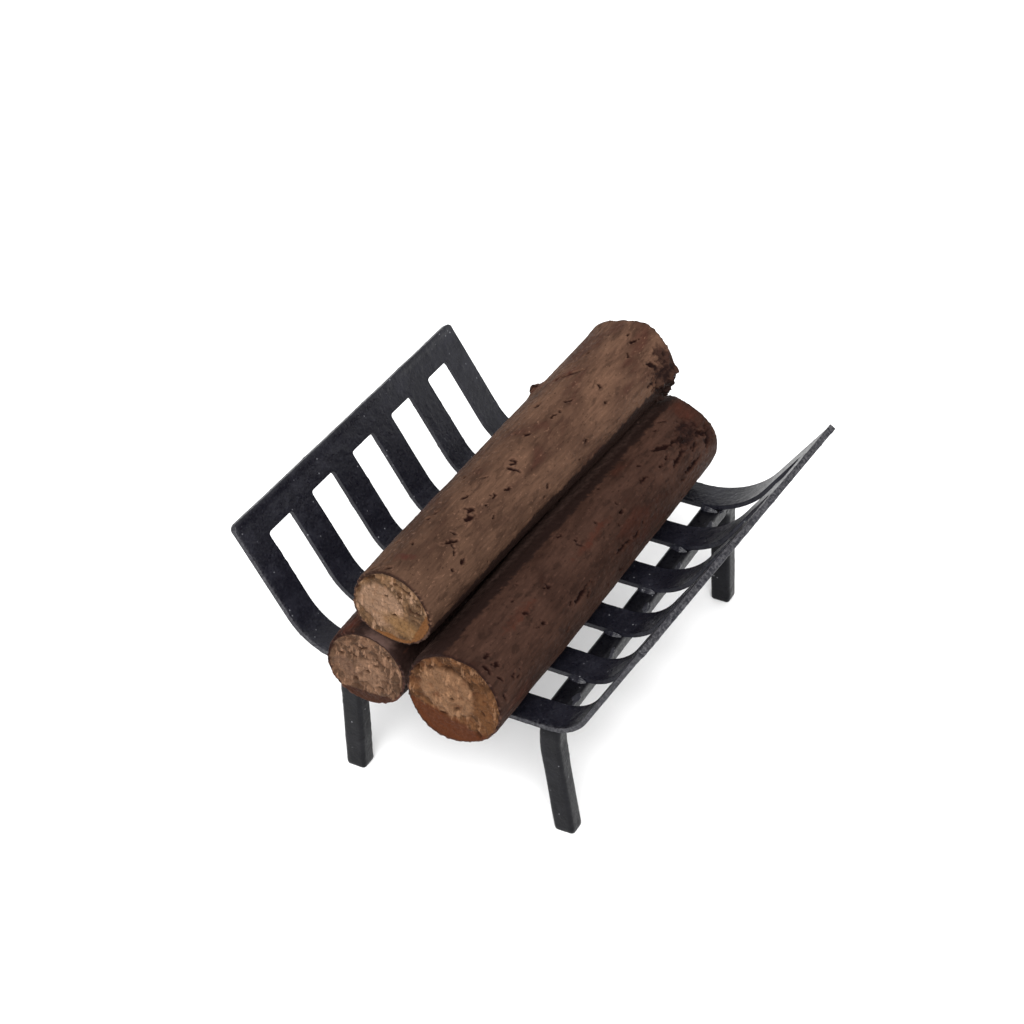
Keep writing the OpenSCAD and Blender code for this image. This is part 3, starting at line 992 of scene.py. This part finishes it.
def bar_section(per_side=5, per_corner=5):
    """Rounded square of a leg bar; the first number is its thickness, the second its depth."""
    points = []
    a, b = LEG_THICK / 2 - LEG_EDGE, LEG_DEEP / 2 - LEG_EDGE
    corners = ((a, b), (-a, b), (-a, -b), (a, -b))

    def on_corner(corner, turn):
        return corner[0] + LEG_EDGE * math.cos(turn), corner[1] + LEG_EDGE * math.sin(turn)

    for quarter, corner in enumerate(corners):
        turn0 = quarter * math.pi / 2
        for k in range(per_corner + 1):
            points.append(on_corner(corner, turn0 + k / per_corner * math.pi / 2))
        x, y = points[-1]
        end_x, end_y = on_corner(corners[(quarter + 1) % 4], turn0 + math.pi / 2)
        for k in range(1, per_side):
            points.append((x + (end_x - x) * k / per_side, y + (end_y - y) * k / per_side))
    return np.array(points)


def sweep(route, section):
    """Rings of the section carried along the route, with both feet rounded off."""
    tangents = np.gradient(route, axis=0)
    tangents /= np.linalg.norm(tangents, axis=1)[:, None]
    deep = BACK - tangents * (tangents @ BACK)[:, None]
    deep /= np.linalg.norm(deep, axis=1)[:, None]
    thick = np.cross(deep, tangents)
    rings = route[:, None] + thick[:, None] * section[None, :, :1]
    rings = rings + deep[:, None] * section[None, :, 1:]
    rings[:, :, 2] = np.maximum(rings[:, :, 2], FOOT_HIGH)
    caps = []
    for end in (0, -1):
        middle = rings[end].mean(axis=0)
        sole = middle + (rings[end] - middle) * SOLE_SHARE
        sole[:, 2] = 0.0
        caps.append(sole)
        rings[end] = middle + (rings[end] - middle) * FOOT_SHARE
        rings[end, :, 2] = FOOT_HIGH
    return np.concatenate([caps[0][None], rings, caps[1][None]])


def make_leg_bar(name, near_lean, far_lean, seed):
    node_low, node_high = box_mm(name)
    route = leg_route(node_low, node_high, near_lean, far_lean)
    section = bar_section()
    rings = sweep(route, section)
    count, around = rings.shape[:2]
    points = rings.reshape(-1, 3)
    faces = capped_faces(count, around)
    normals = outward(points, faces)
    middle = len(points) // 2
    if normals[middle] @ (points[middle] - route[len(route) // 2]) < 0:
        normals = -normals
    waves = lumps(points, 5, seed, 2)
    blobs = smooth(0.2, 0.7, lumps(points, 0.9, seed + 0.5))
    clear = smooth(0.0, 0.5, points[:, 2]) * smooth(0.05, 0.4, abs(points[:, 2] - node_high[2]))
    points = points + normals * ((0.05 * waves + 0.04 * blobs + PAINT) * clear)[:, None]
    corner = np.abs(section) / (np.array([LEG_THICK, LEG_DEEP]) / 2)
    edge = np.tile(smooth(0.80, 0.97, corner.min(axis=1)), count)
    piece = add_piece(name + "_painted", points, faces, {"edge": edge})
    finish_piece(piece, "grate", "grate_paint", leg_paint, name)


make_leg_bar("front_leg_bar", 8.5, 2.0, 31)
make_leg_bar("rear_leg_bar", 0, 0, 33)


# ---- Solder in the corners of every crossing ----


def fillet_run(start, end, wall, under, size, seed):
    """A hollow fillet along a corner line; wall and under point along the two faces it joins."""
    rings = 16
    share = np.linspace(0, 1, rings)
    middle = start + (end - start) * share[:, None]
    swell = lumps(middle, 0.8, seed)
    full = np.sqrt(np.sin(np.pi * np.clip(share, 0.02, 0.98))) * (1 + 0.45 * swell)
    profile = [(-0.12, -0.12), (1, -0.12), (1, 0)]
    for turn in np.linspace(0, math.pi / 2, 7)[1:-1]:
        profile.append((1 - 0.85 * math.sin(turn), 1 - 0.85 * math.cos(turn)))
    profile += [(0, 1), (-0.12, 1)]
    profile = np.array(profile)
    offset = profile[:, :1] * wall + profile[:, 1:] * under
    points = middle[:, None] + offset[None] * (size * full)[:, None, None]
    return points.reshape(-1, 3), capped_faces(rings, len(profile))


def mound(middle, radii, seed):
    """A lumpy blob of solder that sits half inside a bar."""
    rings, around = 18, 28
    points, turns = [], full_turn(around)
    for tilt in np.linspace(0.08, math.pi - 0.08, rings):
        x = np.cos(tilt) * np.ones(around)
        y, z = np.sin(tilt) * np.cos(turns), np.sin(tilt) * np.sin(turns)
        points.append(np.stack([x, y, z], axis=1))
    points = np.concatenate(points)
    points = middle + points * np.array(radii) * (1 + 0.3 * lumps(points, 0.6, seed))[:, None]
    return points, capped_faces(rings, around)


def crossing_runs(front, back, top, flat_from, flat_to):
    """Fillets under each basket bar, before and behind a leg bar, and on it beside each bar.

    Each is its start, its end, the ways along the two faces it joins, and its size.
    """
    runs = []
    for i in range(BARS):
        bar = grate_low[0] + i * (BAR_WIDE + slot_wide)
        start, end = max(bar + 0.3, flat_from), min(bar + BAR_WIDE - 0.3, flat_to)
        if end - start > 0.8:
            for y, out in ((front, -BACK), (back, BACK)):
                runs.append(((start, y, top), (end, y, top), out, -UP, 0.75))
        for x, out in ((bar, -1.0), (bar + BAR_WIDE, 1.0)):
            if flat_from < x < flat_to:
                away = np.array([out, 0.0, 0.0])
                runs.append(((x, front + 0.1, top), (x, back - 0.1, top), away, UP, 0.42))
    return runs


def make_solder(name, strap, mounds, seed):
    """All the solder between one leg bar and the basket; mounds are places along X."""
    low, high = box_mm(strap)
    top, back = high[2], high[1]
    front = back - LEG_DEEP
    runs = crossing_runs(front, back, top, low[0] + LEG_BEND, high[0] - LEG_BEND)
    parts = [
        fillet_run(np.array(start), np.array(end), wall, under, size, seed + 0.37 * k)
        for k, (start, end, wall, under, size) in enumerate(runs)
    ]
    for k, x in enumerate(mounds):
        middle = np.array([x, front + 0.35, top - 0.45])
        parts.append(mound(middle, (1.5, 0.62, 0.42), seed + 0.61 * k))
    points, faces = [], []
    for new_points, new_faces in parts:
        faces += [tuple(v + len(points) for v in face) for face in new_faces]
        points += new_points.tolist()
    points = np.array(points)
    edge = 0.4 + 0.4 * lumps(points, 1.0, seed)
    piece = add_piece(name + "_painted", points, faces, {"edge": edge})
    finish_piece(piece, "grate", "painted_solder", solder_paint, name)


make_solder("front_leg_solder", "front_leg_bar", (-15.9, -6.9, 2.4, 11.4, 20.6, 24.8), 41)
make_solder("rear_leg_solder", "rear_leg_bar", (-7.0, 11.6), 43)


# ---- Floor, light and camera ----


FLOOR_WHITE = (0.95, 0.95, 0.95)


def make_floor():
    size = 1.5  # metres to each side
    points = [(-size, -size, 0), (size, -size, 0), (size, size, 0), (-size, size, 0)]
    mesh = bpy.data.meshes.new("floor")
    mesh.from_pydata(points, [], [(0, 1, 2, 3)])
    floor = bpy.data.objects.new("floor", mesh)
    bpy.context.scene.collection.objects.link(floor)
    n = Nodes("pale_floor")
    n.put(n.shader.inputs["Base Color"], colour(FLOOR_WHITE))
    n.put(n.shader.inputs["Roughness"], 0.9)
    mesh.materials.append(n.material)


def area_light(name, place, aim, size, power):
    data = bpy.data.lights.new(name, "AREA")
    data.shape = "DISK"
    data.size = size
    data.energy = power
    light = bpy.data.objects.new(name, data)
    light.location = place
    light.rotation_mode = "QUATERNION"
    light.rotation_quaternion = (Vector(aim) - Vector(place)).to_track_quat("-Z", "Y")
    bpy.context.scene.collection.objects.link(light)


def make_lights():
    aim = (0, 0, 0.02)
    area_light("key", (-0.42, -0.15, 0.55), aim, 0.5, 5.6)
    area_light("front_fill", (-0.45, -0.32, 0.42), aim, 0.6, 2.4)
    world = bpy.data.worlds.new("studio")
    world.use_nodes = True
    world.node_tree.nodes["Background"].inputs["Color"].default_value = colour((1, 1, 1))
    world.node_tree.nodes["Background"].inputs["Strength"].default_value = 0.95
    bpy.context.scene.world = world
    bpy.context.scene.view_settings.view_transform = "Standard"


def make_camera():
    eye = Vector((-187.2, -100.5, 178.8)) * MM
    aim = Vector((6.83, 5.65, 20.99)) * MM
    roll = math.radians(-1.415)
    data = bpy.data.cameras.new("camera")
    data.lens = 79.04
    data.sensor_width = 36
    data.clip_start = 0.01
    camera = bpy.data.objects.new("camera", data)
    camera.location = eye
    camera.rotation_mode = "QUATERNION"
    camera.rotation_quaternion = (aim - eye).to_track_quat("-Z", "Y") @ Quaternion((0, 0, 1), roll)
    bpy.context.scene.collection.objects.link(camera)
    bpy.context.scene.camera = camera


make_floor()
make_lights()
make_camera()
